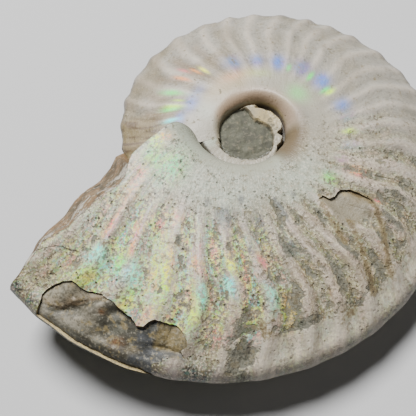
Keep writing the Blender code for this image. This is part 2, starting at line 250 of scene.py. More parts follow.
def shell_grid():
    base, rho = np.meshgrid(column_base, row_rho, indexing="ij")
    side = np.broadcast_to(row_side, base.shape)
    growth = row_growth(base, rho, side)
    points = flank_point(growth, rho, side, rib_relief(growth, rho))
    wall = rho < WALL_TOP - 1e-9
    points[wall] = wall_point(growth[wall], rho[wall], side[wall])
    # Each row stays outside the one below it where the wall would fold over the stone.
    reach = np.hypot(points[..., 0], points[..., 1])
    rank = np.minimum(np.arange(len(row_rho)), len(row_rho) - 1 - np.arange(len(row_rho)))
    least = FILL_RADIUS + 0.00003 * rank[None, :]
    points[..., :2] *= np.maximum(1, least / reach)[..., None]
    return points, growth


points, growths = shell_grid()
flat = points.reshape(-1, 3)
wave = WAVINESS * (cloud(flat, 0.0055, 1) + 0.4375 * cloud(flat, 0.0022, 2))
wave = wave.reshape(points.shape[:2]) - LOW_FLANK_DROP * (row_side < 0)
points[..., 2] += wave * row_side * ease(row_rho, 0.22, 0.3) * (1 - ease(row_rho, 0.97, 1))
# The lower flank is pressed a little flatter, so that it stands on its shoulder.
points[..., 2] *= 1 - LOW_FLANK_SQUASH * ease(row_rho, 1, 0.8) * (row_side < 0)


def stitch(mesh, first, second):
    # Triangles between two runs of vertices, always closing the shorter diagonal.
    made = []
    i, j = 0, 0
    while i < len(first) - 1 or j < len(second) - 1:
        go_first = j == len(second) - 1
        if not go_first and i < len(first) - 1:
            ahead = (first[i + 1].co - second[j].co).length
            go_first = ahead <= (second[j + 1].co - first[i].co).length
        corners = [first[i], second[j], first[i + 1] if go_first else second[j + 1]]
        if len(set(corners)) == 3:
            made.append(mesh.faces.new(corners))
        if go_first:
            i += 1
        else:
            j += 1
    return made


def sheet(mesh, columns):
    # Faces between neighbouring lines of vertices; corners that fall together are left out.
    made = []
    for near, far in zip(columns, columns[1:]):
        for i in range(len(near) - 1):
            corners = list(dict.fromkeys((near[i], near[i + 1], far[i + 1], far[i])))
            if len(corners) > 2:
                made.append(mesh.faces.new(corners))
    return made


# Umbilicus: the older whorls sink in the middle of the coil and grey-green stone fills them.
# Round it stands the older whorl's shoulder, broken into a jagged edge on the right.
# Both edges are given by direction in degrees and radius in millimetres.
FILL_EDGE = ((-180, -163, -121, -97, -62, -46, -38, -17, 4, 27, 45, 66, 76, 84, 95, 104, 180),
             (5.9, 6, 6.2, 6, 6.2, 6.1, 5.7, 5, 4.5, 3.5, 3, 2.9, 3.6, 4.4, 5.2, 5.4, 5.9))
REMNANT_EDGE = ((-75, -55, -43, -37, -31, -25, -19, -12, -7, -3, 2, 12, 24, 33, 41, 50, 59, 78),
                (8.4, 8.6, 8, 7, 6.5, 6.8, 7.2, 7, 5.8, 5.9, 6.6, 6.9, 6.8, 6.4, 6.4, 5.9,
                 5.7, 5.2))
LOWER_FILL_EDGE = 0.0056
BOWL_START = -276
OLDER_RIM = 0.425
# Rings of the stone floor: share of its radius, and number of vertices.
FLOOR_RINGS = ((0.965, 150), (0.92, 150), (0.875, 120), (0.83, 120), (0.785, 120), (0.74, 100),
               (0.695, 100), (0.65, 90), (0.6, 90), (0.55, 80), (0.5, 70), (0.44, 60), (0.38, 50),
               (0.32, 40), (0.25, 30), (0.17, 20), (0.08, 10))


def fill_edge(angle):
    turn = np.radians(angle)
    return 0.001 * (np.interp(angle, *FILL_EDGE) + 0.05 * np.sin(turn * 17) + 0.04 * np.sin(turn * 31))


def umbilicus_level(x, y, seam, foot, side):
    radius = np.hypot(x, y)
    angle = np.degrees(np.arctan2(y, x))
    spots = np.stack([x, y, np.full(np.shape(x), 0.009 * side)], -1).reshape(-1, 3)
    lumps = cloud(spots, 0.0016, 6).reshape(np.shape(x))
    grit = cloud(spots, 0.0005, 7).reshape(np.shape(x))
    floor = FILL_LEVEL + 0.0003 * lumps + 0.00016 * grit - 0.0003 * ease(radius, 0.0036, 0.0056)
    right_side = ease(np.cos(np.radians(angle + 2)), 0.22, 0.47) * (side > 0)
    ring = RING_LEVEL + 0.0001 * grit + 0.00018 * lumps * right_side
    drop = ease(radius - 0.001 * np.interp(angle, *REMNANT_EDGE), 0, 0.0003) * right_side
    ring = ring + (GROOVE_LEVEL - ring) * drop
    edge = fill_edge(angle) if side > 0 else LOWER_FILL_EDGE
    level = floor + (ring - floor) * ease(radius - edge, 0, 0.00045)
    return level + (foot - level) * ease(seam - radius, 0.00055, 0)


def build_bowl(mesh, grid, side):
    rows = range(len(row_rho))[::side]
    contact = [row for row in rows if row_rho[row] < OLDER_RIM and row_side[row] == side]
    seam_row = contact[0]
    start = int(np.searchsorted(column_base, BOWL_START))
    shoulder_reach = np.array([grid[0][row].co.xy.length for row in contact])
    shoulder_rise = [abs(grid[0][row].co.z) for row in contact]
    share = (shoulder_reach - FILL_RADIUS) / (shoulder_reach[-1] - FILL_RADIUS)
    lines = []
    for column in range(start, len(column_base) - 1):
        growth = growths[column, seam_row]
        seam = grid[column][seam_row]
        reach = seam.co.xy.length
        radii = FILL_RADIUS + (reach - FILL_RADIUS) * share[:-1]
        spots = spot_at(growth, radii, 0)
        levels = umbilicus_level(spots[:, 0], spots[:, 1], reach, abs(seam.co.z), side)
        joined = ease(growth, -6, 16)
        older = np.interp(radii, shoulder_reach, shoulder_rise)
        levels = levels + (older - levels) * joined * ease(radii, 0.0057, 0.0061)
        levels = levels - slit_depth(growth) * ease(reach - radii, 0.0009, 0)
        if column == start:
            line = [seam] * len(radii)
        else:
            line = [mesh.verts.new((p[0], p[1], side * z)) for p, z in zip(spots, levels)]
        lines.append(line + [seam])
    lines.append([grid[0][row] for row in contact])
    sheet(mesh, lines)
    rim = [grid[column][seam_row] for column in range(start)] + [line[0] for line in lines[:-1]]
    rim.append(rim[0])
    filling = []
    previous = rim
    for share_in, number in FLOOR_RINGS:
        spots = spot_at(18 + 360 * np.arange(number) / number,
                        np.full(number, FILL_RADIUS * share_in), 0)
        levels = umbilicus_level(spots[:, 0], spots[:, 1], 1, FILL_LEVEL, side)
        ring = [mesh.verts.new((p[0], p[1], side * z)) for p, z in zip(spots, levels)]
        ring.append(ring[0])
        filling += stitch(mesh, previous, ring)
        previous = ring
    middle = mesh.verts.new((0, 0, side * FILL_LEVEL))
    for near, far in zip(previous, previous[1:]):
        filling.append(mesh.faces.new((near, far, middle)))
    return filling


# Broken end: the last whorl snapped across, so its stone filling shows on a rough face. The face
# runs from the flank's edge down to a ridge at mid height, and back under to the lower flank.
RIDGE_LEAD = ((0.445, 0.455, 0.48, 0.53, 0.58, 0.63, 0.73, 0.82, 0.9, 0.96, 0.99, 1),
              (29, 27.5, 24, 20, 17, 14, 10, 7, 3.5, 1.5, 0.5, 0))
SLOPE_STEPS = 14
UNDER_STEPS = 10
FOOT_STEPS = 22
FACE_GRAIN = 0.0004


def roughen(spots, amount, push):
    grain = cloud(spots, 0.004, 3) + 0.5 * cloud(spots, 0.0018, 4) + 0.15 * cloud(spots, 0.0008, 5)
    return spots + (FACE_GRAIN * amount * grain)[:, None] * np.asarray(push)[None, :]


def share_along(vertices, turn):
    # Place of each vertex along a chain, from 0 over 1 at the turning vertex to 2.
    spots = np.array([vertex.co for vertex in vertices])
    reach = np.concatenate([[0], np.cumsum(np.linalg.norm(np.diff(spots, axis=0), axis=1))])
    before = reach / reach[turn]
    after = 1 + (reach - reach[turn]) / (reach[-1] - reach[turn])
    return spots, np.where(reach <= reach[turn], before, after)


def build_broken_end(mesh, grid):
    rim = grid[-1]
    inner = RIDGE_LEAD[0][0]
    high_rows = [row for row in range(KEEL_ROW) if row_rho[row] >= inner]
    low_rows = [row for row in range(KEEL_ROW + 1, len(row_rho)) if row_rho[row] >= inner]
    rho = row_rho[high_rows]
    lead = np.interp(rho, *RIDGE_LEAD)
    ridge = spot_at(lead, rho * whorl_radius(lead), 0.0006 * np.sin(rho * 33) * (1 - rho) * 3)
    edge = np.array([rim[row].co for row in high_rows])
    low_edge_rho = row_rho[low_rows][::-1]
    low_edge = np.array([rim[row].co for row in low_rows])[::-1]
    under = np.stack([np.interp(rho, low_edge_rho, low_edge[:, axis]) for axis in range(3)], -1)
    taper = np.minimum(1, (1 - rho) / 0.1)
    lines = [[rim[row] for row in high_rows] + [rim[KEEL_ROW]]]
    for start, end, steps, count, swell, lift in ((edge, ridge, SLOPE_STEPS, SLOPE_STEPS, 1, 0.6),
                                                  (ridge, under, UNDER_STEPS, UNDER_STEPS - 1, 1.4, -0.5)):
        for step in range(1, count + 1):
            middle = start + (end - start) * (step / steps)
            middle = roughen(middle, taper * swell * min(1, step / 2), (-0.5, 0.5, lift))
            lines.append([mesh.verts.new(spot) for spot in middle] + [rim[KEEL_ROW]])
    made = sheet(mesh, lines)
    made += stitch(mesh, lines[-1][::-1], [rim[row] for row in [KEEL_ROW] + low_rows])
    head = [rim[row] for row in range(high_rows[0])] + [line[0] for line in lines]
    head += [rim[row] for row in range(low_rows[-1], len(row_rho))]
    turn = high_rows[0] + SLOPE_STEPS
    older = [row for row in range(len(row_rho)) if row_rho[row] >= OLDER_RIM]
    foot = [rim[0]] + [grid[0][row] for row in older] + [rim[-1]]
    spots, place_on_head = share_along(head, turn)
    foot_spots, place_on_foot = share_along(foot, foot.index(grid[0][KEEL_ROW]))
    target = np.stack([np.interp(place_on_head, place_on_foot, foot_spots[:, axis])
                       for axis in range(3)], -1)
    width = np.minimum(1, np.linalg.norm(target - spots, axis=1) / 0.006)
    rings = [head]
    for step in range(1, FOOT_STEPS):
        middle = spots + (target - spots) * (step / FOOT_STEPS)
        middle = roughen(middle, width * min(1, step / 2), (-0.7, 0.7, 0.2))
        rings.append([head[0]] + [mesh.verts.new(spot) for spot in middle[1:-1]] + [head[-1]])
    made += sheet(mesh, rings)
    return made + stitch(mesh, rings[-1], foot)


def build_shell():
    mesh = bmesh.new()
    grid = [[mesh.verts.new(point) for point in line] for line in points]
    # The older whorl's rim, where the broken end starts, is shared by both ends of the grid.
    hidden = np.flatnonzero(row_rho < OLDER_RIM)
    for row, kept in ((hidden[hidden < KEEL_ROW].max(), grid[-1][0]),
                      (hidden[hidden > KEEL_ROW].min(), grid[-1][-1])):
        mesh.verts.remove(grid[0][row])
        grid[0][row] = kept
    sheet(mesh, grid)
    for index, faces in ((1, build_bowl(mesh, grid, 1)), (1, build_bowl(mesh, grid, -1)),
                         (2, build_broken_end(mesh, grid))):
        for face in faces:
            face.material_index = index
    bmesh.ops.recalc_face_normals(mesh, faces=mesh.faces)
    for face in mesh.faces:
        face.smooth = True
    data = bpy.data.meshes.new("shell")
    mesh.to_mesh(data)
    mesh.free()
    item = bpy.data.objects.new("shell", data)
    bpy.context.scene.collection.objects.link(item)
    return item


# Windows: two places where the thin shell layer has flaked off and the stone mould shows.
# Each is cut by a thick sheet that follows the flank, trimmed to the window's ragged outline.
KEEL_WINDOW = (
    (-7.5, 0.965), (-6.5, 0.94), (-6.5, 0.92), (-7.2, 0.893), (-8.4, 0.868), (-10, 0.85),
    (-13.2, 0.848), (-15.2, 0.839), (-17.6, 0.828), (-19.6, 0.835), (-21, 0.834), (-23.2, 0.843),
    (-26.4, 0.855), (-28.4, 0.873), (-30, 0.869), (-30.8, 0.853), (-32, 0.839), (-34, 0.835),
    (-37.2, 0.835), (-38.8, 0.853), (-40.6, 0.883), (-41, 0.9), (-39.8, 0.922), (-42, 0.95),
    (-43, 0.98), (-43, 1.09), (-25, 1.09), (-9, 1.09))
FLANK_WINDOW = (
    (-88, 0.47), (-91, 0.478), (-94.8, 0.476), (-96.8, 0.508), (-99.2, 0.519), (-102, 0.513),
    (-104, 0.523), (-107.2, 0.551), (-108.8, 0.595), (-109.7, 0.643), (-108.4, 0.693),
    (-107.6, 0.73), (-106, 0.8), (-88, 0.8))
PATCH_EDGE = ((9.2, 0.957), (11.6, 0.942), (12.8, 0.909), (14.4, 0.888), (17.2, 0.856), (19, 0.835))
MOULD_RIDGE = ((-9.5, 0.972), (-12.4, 0.957), (-15.6, 0.94), (-18, 0.866), (-21.2, 0.828))
FLANK_RIDGE = ((-91.5, 0.77), (-94.5, 0.715))
SHEET_THICKNESS = 0.003
OUTLINE_STEP = 0.0006


def near_line(growth, across, line, width):
    # 1 on a line of (growth angle, share of radius) points, falling off over its width in metres.
    scale = SHELL_RADIUS * 0.95 * np.array([0.9, 1])
    spots = np.stack([np.radians(growth), across], -1) * scale
    corners = [np.array([math.radians(angle), share]) * scale for angle, share in line]
    best = 1
    for start, end in zip(corners, corners[1:]):
        run = end - start
        share = np.clip(((spots - start) @ run) / (run @ run), 0, 1)
        best = np.minimum(best, np.linalg.norm(spots - (start + share[..., None] * run), axis=-1))
    return np.exp(-(best / width) ** 2)


def keel_floor(growth, across):
    # Depth under the shell surface: a smooth patch, a step down, a low ridge, pits, a smooth tail.
    edge = np.interp(-growth, *zip(*PATCH_EDGE))
    patch = ease(edge - across, 0, 0.006) * ease(growth, -20, -18)
    tail = ease(-growth, 32, 32.8) * ease(across, 0.925, 0.913)
    depth = 0.0009 - 0.00035 * patch - 0.00035 * tail
    depth = depth - 0.00035 * ease(across, 0.955, 0.98)
    depth = depth - 0.00125 * ease(-growth, 31, 39) * ease(across, 0.925, 0.95)
    depth = depth - 0.0006 * near_line(growth, across, MOULD_RIDGE, 0.0011)
    depth = depth + 0.0007 * near_line(growth, across, ((-21.5, 0.872), (-23.6, 0.85)), 0.0009)
    depth = depth + 0.00045 * near_line(growth, across, ((-11, 0.962), (-14.6, 0.915)), 0.0007)
    return depth, 1 - 0.8 * np.maximum(patch, tail)


def flank_floor(growth, across):
    fade = ease(across, 0.77, 0.57) * ease(-growth, 88, 98)
    depth = 0.00095 * fade - 0.0003
    depth = depth - 0.0004 * near_line(growth, across, FLANK_RIDGE, 0.0006)
    depth = depth + 0.0003 * near_line(growth, across, ((-104, 0.69), (-103, 0.76)), 0.0008)
    return depth, 0.25 + 0.75 * ease(across, 0.6, 0.68)


def window_sheet(growths_on, across_on, floor_at, material):
    # A thick sheet along the flank: its top clears the shell, its bottom is the window's floor.
    bpy.ops.mesh.primitive_grid_add(x_subdivisions=len(growths_on) - 1,
                                    y_subdivisions=len(across_on) - 1)
    item = bpy.context.object
    across, growth = np.meshgrid(across_on, growths_on, indexing="ij")
    rho = np.where(across <= 1, across, 2 - across)
    side = np.sign(1 - across)
    relief = rib_relief(growth, rho)
    surface = flank_point(growth, rho, side, 0 * rho).reshape(-1, 3)
    item.data.vertices.foreach_set("co", surface.ravel())
    item.data.update()
    middle = item.data.polygons[len(item.data.polygons) // 2]
    if middle.normal.z < 0:
        item.data.flip_normals()
    item.data.materials.append(material)
    thick = item.modifiers.new("thickness", "SOLIDIFY")
    thick.thickness = SHEET_THICKNESS
    thick.offset = 1
    bpy.ops.object.modifier_apply(modifier=thick.name)
    depth, grain = floor_at(growth, across)
    rough = sum(share * cloud(surface, size, seed)
                for share, size, seed in ((1, 0.002, 8), (0.8, 0.0009, 9), (0.5, 0.0004, 10)))
    depth = depth + 0.00012 * grain * rough.reshape(depth.shape)
    spots = flank_point(growth, rho, side, relief - depth).reshape(-1, 3)
    for vertex, spot in zip(item.data.vertices[len(spots):], spots):
        vertex.co = spot
    return item


def window_outline(outline, floor_height, material):
    # A jagged block that stands on the outline; its foot follows a height given by x.
    corners = []
    for (first, start), (second, end) in zip(outline, outline[1:] + outline[:1]):
        length = math.hypot(math.radians(second - first) * 0.045, (end - start) * SHELL_RADIUS)
        steps = max(1, round(length / OUTLINE_STEP))
        for step in range(steps):
            share = step / steps
            corners.append((first + (second - first) * share, start + (end - start) * share))
    bpy.ops.mesh.primitive_circle_add(vertices=len(corners), fill_type="NGON")
    item = bpy.context.object
    growth, rho = np.array(corners).T
    spots = spot_at(growth, rho * whorl_radius(growth), 0)
    jag = cloud(spots, 0.0011, 11) + 0.6 * cloud(spots, 0.0005, 12)
    out = spots[:, :2] / np.linalg.norm(spots[:, :2], axis=1)[:, None]
    spots[:, :2] += out * (0.00022 * jag)[:, None]
    spots[:, 2] = floor_height(spots[:, 0])
    item.data.vertices.foreach_set("co", spots.ravel())
    item.data.materials.append(material)
    bpy.ops.object.mode_set(mode="EDIT")
    bpy.ops.mesh.select_all(action="SELECT")
    bpy.ops.mesh.extrude_region_move(TRANSFORM_OT_translate={"value": (0, 0, 0.03)})
    bpy.ops.mesh.select_all(action="SELECT")
    bpy.ops.mesh.normals_make_consistent(inside=False)
    bpy.ops.object.mode_set(mode="OBJECT")
    return item


def cut(item, cutter, operation):
    # A Boolean that keeps the cutter's material on the new faces, and leaves no open edge.
    change = item.modifiers.new(cutter.name, "BOOLEAN")
    change.operation = operation
    change.solver = "EXACT"
    change.material_mode = "TRANSFER"
    change.object = cutter
    bpy.context.view_layer.objects.active = item
    bpy.ops.object.modifier_apply(modifier=change.name)
    bpy.data.objects.remove(cutter, do_unlink=True)
    mesh = bmesh.new()
    mesh.from_mesh(item.data)
    bmesh.ops.holes_fill(mesh, edges=[edge for edge in mesh.edges if edge.is_boundary])
    mesh.to_mesh(item.data)
    mesh.free()


shell = build_shell()
materials = {name: bpy.data.materials.new(name)
             for name in ("nacre", "filling", "fracture", "mould", "shell_edge")}
for name in ("nacre", "filling", "fracture"):
    shell.data.materials.append(materials[name])
for outline, sheet_growths, sheet_across, floor_at, floor_height, bottom in (
        (KEEL_WINDOW, np.arange(-2, -46, -0.3), np.arange(0.8, 1.14, 0.0055), keel_floor,
         lambda x: 0.0001 - 0.045 * (x + 0.025), "mould"),
        (FLANK_WINDOW, np.arange(-84, -114, -0.35), np.arange(0.44, 0.84, 0.006),
         flank_floor, lambda x: 0 * x, "nacre")):
    window = window_sheet(sheet_growths, sheet_across, floor_at, materials[bottom])
    block = window_outline(outline, floor_height, materials["shell_edge"])
    cut(window, block, "INTERSECT")
    cut(shell, window, "DIFFERENCE")


# Pearly layer: thin shell of many fine sheets that split the light, chalky where it is worn and
# flaked to olive stone in patches. Every mark on it is placed by its growth angle and its share of
# the whorl radius, so it runs along the ribs as the shell grew. Colours are as seen, 0 to 255.
STUDIO_LIGHT = 2.75
CHROMA = 1.12
SHEEN_CHROMA = 1.6
COLOURS = {
    "chalk": (202, 199, 191), "pearl": (191, 194, 184), "cream": (185, 181, 169), "ash": (188, 186, 180),
    "straw": (192, 183, 160), "sand": (172, 166, 150), "clay": (168, 158, 134), "olive": (152, 151, 138),
    "mauve": (146, 143, 138), "peach": (200, 186, 170), "brown": (124, 104, 74), "dark": (74, 68, 50),
    "slate": (140, 142, 138), "grey": (112, 112, 94), "steel": (100, 103, 106), "rust": (142, 102, 20),
    "amber": (162, 138, 102), "khaki": (164, 152, 114), "bone": (192, 182, 146),
    "white": (220, 216, 208), "glint": (236, 230, 190), "blush": (206, 198, 193),
    "yellow_film": (160, 152, 124), "grime": (112, 108, 86), "stone_dark": (94, 93, 80),
    "cyan": (70, 206, 230), "green": (110, 222, 134), "lime": (196, 228, 84), "yellow": (240, 216, 96),
    "orange": (240, 184, 130), "pink": (238, 164, 174), "violet": (146, 148, 176), "blue": (140, 154, 190)}
FLAKE_DEPTH = 0.00008


def tone(name, chroma=CHROMA):
    # Share of the light that a surface sends back to be seen as this colour in the studio.
    seen = np.array(COLOURS[name]) / 255
    middle = seen.mean()
    seen = np.clip(middle + chroma * (seen - middle), 0.02, 0.96)
    return np.clip(0.33 * seen ** 1.5 / (1 - seen) / STUDIO_LIGHT, 0.01, 0.88)


def shell_places(spots):
    # Growth angle, and share of the whorl radius: under 1 on the upper flank, over 1 on the lower.
    angle = np.degrees(np.arctan2(spots[:, 1], spots[:, 0]))
    growth = np.mod(TIP_ANGLE - angle, 360) - 360
    reach = np.hypot(spots[:, 0], spots[:, 1])
    newer = growth + 360
    newer_rho = reach / whorl_radius(newer)
    end = np.where(spots[:, 2] >= 0, np.interp(newer_rho, *TOP_END), np.interp(newer_rho, *LOW_END))
    on_newer = (newer <= end + 0.3) & (newer_rho <= 1.05)
    growth = np.where(on_newer, newer, growth)
    rho = reach / whorl_radius(growth)
    return growth, np.where(spots[:, 2] >= 0, rho, 2 - np.minimum(rho, 1))


marks_at = np.array([vertex.co for vertex in shell.data.vertices])
growth, across = shell_places(marks_at)
age = -growth
rho = np.where(across > 1, 2 - across, across)
outer = whorl_radius(growth)
base = growth - rib_shift(rho)
number = rib_number(growth, rho)
crest = 0.5 + 0.5 * np.cos(2 * math.pi * number)
patchy = 0.5 + 0.5 * cloud(marks_at, 0.006, 20)
blotch = 0.5 + 0.5 * cloud(marks_at, 0.0026, 21)
far = ease(age - 120 + 30 * (patchy - 0.5) + 14 * (blotch - 0.5), 0, 38)
near = 1 - far

# Ground colour of the shell in different parts: growth angle, share of radius, how far it
# reaches in both, and the pigment.
GROUND = (
    (2, 0.4, 14, 0.14, "pearl"), (-14, 0.62, 10, 0.16, "cream"), (-6, 0.86, 8, 0.08, "sand"),
    (-30, 0.64, 14, 0.16, "chalk"), (-38, 0.36, 18, 0.06, "pearl"), (-48, 0.46, 14, 0.07, "olive"),
    (-50, 0.7, 12, 0.14, "sand"), (-76, 0.78, 16, 0.14, "clay"), (-74, 0.5, 12, 0.1, "sand"),
    (-88, 0.38, 18, 0.08, "pearl"), (-102, 0.86, 12, 0.1, "clay"), (-125, 0.55, 16, 0.2, "cream"),
    (-160, 0.75, 30, 0.2, "ash"), (-220, 0.8, 30, 0.2, "ash"), (-280, 0.8, 30, 0.2, "ash"),
    (-330, 0.8, 20, 0.2, "sand"), (-200, 0.36, 30, 0.08, "cream"), (-255, 0.38, 26, 0.08, "straw"),
    (-325, 0.4, 26, 0.12, "pearl"))
total, paint = 1e-6, np.zeros((len(marks_at), 3))
for at_growth, at_rho, reach_growth, reach_rho, pigment in GROUND:
    far_off = ((growth - at_growth) / reach_growth) ** 2 + ((rho - at_rho) / reach_rho) ** 2
    weight = 1 / (0.04 + far_off) ** 2
    paint += weight[:, None] * tone(pigment)
    total = total + weight
paint /= total[:, None]


def lay(pigment, amount):
    # Brushes a pigment over the paint laid so far.
    paint[:] += (tone(pigment) - paint) * np.clip(amount, 0, 1)[:, None]


def spot(at_growth, at_rho, reach_growth, reach_rho):
    # 1 at a place on the flank, falling off along the rib lines and across them.
    at_base = at_growth - rib_shift(at_rho)
    return np.exp(-((base - at_base) / reach_growth) ** 2 - ((across - at_rho) / reach_rho) ** 2)


def strongest(marks):
    # The highest of a table of spots: growth angle, share of radius, reach in both, strength.
    return np.max([strength * spot(*at) for *at, strength in marks], axis=0)


flank = ease(rho, 0.36, 0.48)
valley = 1 - crest
# Far half: rib crests are painted lighter and the hollows between them darker, as painted light and shade
# of its low ribs; the clay is partly the shell's own patchy tone.
lay("white", 0.25 * flank * crest ** 3 * far)
lay("clay", 0.3 * flank * valley ** 1.5 * far * (0.3 + 0.9 * patchy))
lay("sand", 0.6 * far * flank * ease(patchy, 0.45, 0.7) * (0.2 + 0.8 * blotch))
lay("clay", 0.6 * flank * ease(age, 232, 262) * ease(patchy, 0.38, 0.63))
lay("amber", 0.55 * flank * valley ** 2 * ease(age, 250, 270) * ease(rho, 0.86, 0.76)
    * (0.3 + blotch))
lay("olive", 0.4 * far * ease(blotch, 0.6, 0.8) * ease(rho, 0.6, 0.7))
lay("brown", 0.35 * far * ease(age, 235, 255) * spot(-274, 0.66, 14, 0.07) * valley)
hollow = flank * valley * near
lay("yellow_film", 0.8 * hollow * ease(age, 35, 55) * (0.4 + 0.8 * patchy))
lay("yellow_film", 0.45 * hollow * ease(growth, -40, -20) * (0.2 + 0.9 * patchy))
# Slate-grey bruises on the upper flank.
BRUISES = (
    (-43.6, 0.435, 5, 0.05, 1), (-50.5, 0.365, 2.6, 0.03, 0.8), (-71.5, 0.43, 2.2, 0.07, 1),
    (-33, 0.4, 4, 0.03, 0.6), (-71, 0.59, 2.8, 0.05, 1.1), (-60, 0.46, 4, 0.06, 0.7),
    (-82, 0.4, 3, 0.03, 0.6), (-55.6, 0.564, 1.6, 0.04, 0.7), (-40, 0.577, 1.5, 0.04, 0.6))
bruise = strongest(BRUISES)
lay("olive", 0.7 * near_line(growth, across, ((-73, 0.42), (-70, 0.48), (-69, 0.58), (-68, 0.66)), 0.0012))
# Band of unflaked shell along the keel of the newer half, with a ragged inner edge.
LEDGE = ((50, 52, 54, 60, 71, 77, 80, 86, 94, 101, 108, 118),
         (0.9, 0.866, 0.845, 0.876, 0.878, 0.856, 0.881, 0.891, 0.886, 0.886, 0.873, 0.89))
ledge = np.interp(age, *LEDGE) + 0.006 * (patchy - 0.5) + 0.01 * (blotch - 0.5)
on_older = ease(age, 48, 51) * near
keel_band = ease(rho - ledge, 0, 0.006) * on_older * (across < 1.15)
lay("chalk", 0.75 * keel_band)
# Painted shade along the keel: its edge is painted darker grey-mauve, and the keel right of the first
# window grey to near black towards its edge, where it turns down from the light; the grey is partly the
# shell's own tone.
lay("mauve", 0.75 * ease(rho, 0.945, 0.995) * (0.5 + 0.7 * patchy))
lay("grime", 0.5 * spot(-45, 0.99, 6, 0.06))
on_last = growth < 0
lay("steel", 0.9 * on_last * ease(growth, -56, -42) * ease(across, 0.94, 0.98) * (across < 1.25))
lay("dark", 0.45 * on_last * ease(growth, -50, -36) * ease(across, 0.975, 0.995) * (across < 1.2))
# Slightly darker band round the far half, where the shell is thinnest over the shoulder.
lay("steel", 0.3 * far * np.exp(-((rho - 0.49) / 0.03) ** 2) * ease(age, 205, 225))
# Brown film on the wall of the umbilicus, deepest at its foot, and on the older whorl by the break.
depth_here = np.abs(marks_at[:, 2])
reach_here = np.hypot(marks_at[:, 0], marks_at[:, 1])
far_wall = (1 - ease(rho, 0.235, 0.31)) * ease(age, 118, 158)
lay("peach", 0.7 * far_wall)
lay("amber", 0.25 * far_wall * ease(age, 190, 230))
lay("mauve", 0.45 * spot(-150, 0.27, 16, 0.04))
lay("cream", ease(age, 292, 317) * (1 - ease(rho, 0.42, 0.48)) * (growth < -292))
older_edge = ease(age, 312, 317) * ease(rho, 0.58, 0.73) * (growth < -300)
streaky = 0.5 + 0.5 * cloud(np.stack([base * 0.0009, across * 0.012, 0 * base], -1), 0.0016, 27)
lay("khaki", 0.85 * older_edge)
lay("brown", 0.95 * older_edge * ease(streaky, 0.45, 0.6))
lay("dark", 0.5 * older_edge * ease(streaky, 0.62, 0.77) * ease(rho, 0.7, 0.8))
# Painted shade: the whole far half is painted a little darker, as its flank tilts away from the light.
paint *= (1 - 0.07 * far)[:, None]
right_wall = ease(growth, -150, -130)
lay("clay", 0.9 * right_wall * (1 - ease(rho, 0.26, 0.32)) * ease(age, 92, 102))
lay("brown", 0.7 * right_wall * (1 - ease(rho, 0.25, 0.3)) * ease(age, 84, 94))

# Patches where the pearly layer has flaked to olive-grey stone.
FLAKES = (
    (-117.5, 0.76, 1.6, 0.06, 1), (-108.5, 0.78, 1.8, 0.08, 0.9), (-102, 0.79, 1.5, 0.06, 0.8),
    (-95, 0.84, 1.8, 0.09, 0.9), (-84, 0.895, 4.5, 0.03, 0.9), (-83, 0.76, 2, 0.1, 0.9),
    (-69, 0.865, 7, 0.022, 0.9), (-68, 0.77, 3, 0.055, 1), (-53.6, 0.89, 3.6, 0.09, 1),
    (-55, 0.785, 1.8, 0.05, 0.9), (-69, 0.58, 2.4, 0.06, 0.9), (-70, 0.45, 1.6, 0.09, 0.7),
    (-57, 0.5, 3, 0.03, 0.6),
    (-42, 0.62, 1.6, 0.08, 0.6), (-32.4, 0.617, 1.1, 0.014, 1.2), (-28.8, 0.564, 1.1, 0.014, 1.2),
    (-47.6, 0.55, 1.4, 0.03, 0.7), (-76, 0.66, 2, 0.1, 0.6), (-90, 0.7, 1.6, 0.1, 0.7),
    (-47, 0.7, 1, 0.08, 0.5), (-62, 0.66, 1.2, 0.1, 0.55), (-126, 0.62, 1.6, 0.08, 0.5),
    (-133, 0.8, 2, 0.08, 0.5), (-8, 0.792, 0.7, 0.012, 0.9), (-6.8, 0.744, 0.7, 0.012, 1),
    (-6.8, 0.7, 0.7, 0.02, 1), (-30.4, 0.744, 0.6, 0.012, 1), (-53, 0.952, 4, 0.03, 0.8),
    (-200, 1.14, 5, 0.08, 0.9), (-120, 1.2, 4, 0.1, 0.9), (-60, 1.25, 5, 0.1, 0.9),
    (-20, 1.3, 4, 0.12, 0.9), (-260, 1.3, 5, 0.1, 0.8), (-310, 1.2, 4, 0.1, 0.8),
    (-160, 1.35, 5, 0.08, 0.8))
under_ledge = np.exp(-((ledge - 0.02 - rho) / 0.018) ** 2) * on_older * (across < 1)
flake = np.maximum(strongest(FLAKES), 0.62 * under_ledge * (0.4 + 0.8 * blotch))
worn = crest * flank * (0.5 + 0.5 * ease(age, 18, 43))
thin = 0.28 + 0.08 * ease(age, 30, 38) + 0.14 * ease(age, 44, 56)
thin = thin * hollow * (0.3 + blotch) * ease(rho, 0.93, 0.89)
flake = np.maximum(flake, thin) * (1 - 0.8 * keel_band)
flake = np.maximum(flake, spot(-53.6, 0.93, 3.6, 0.07))

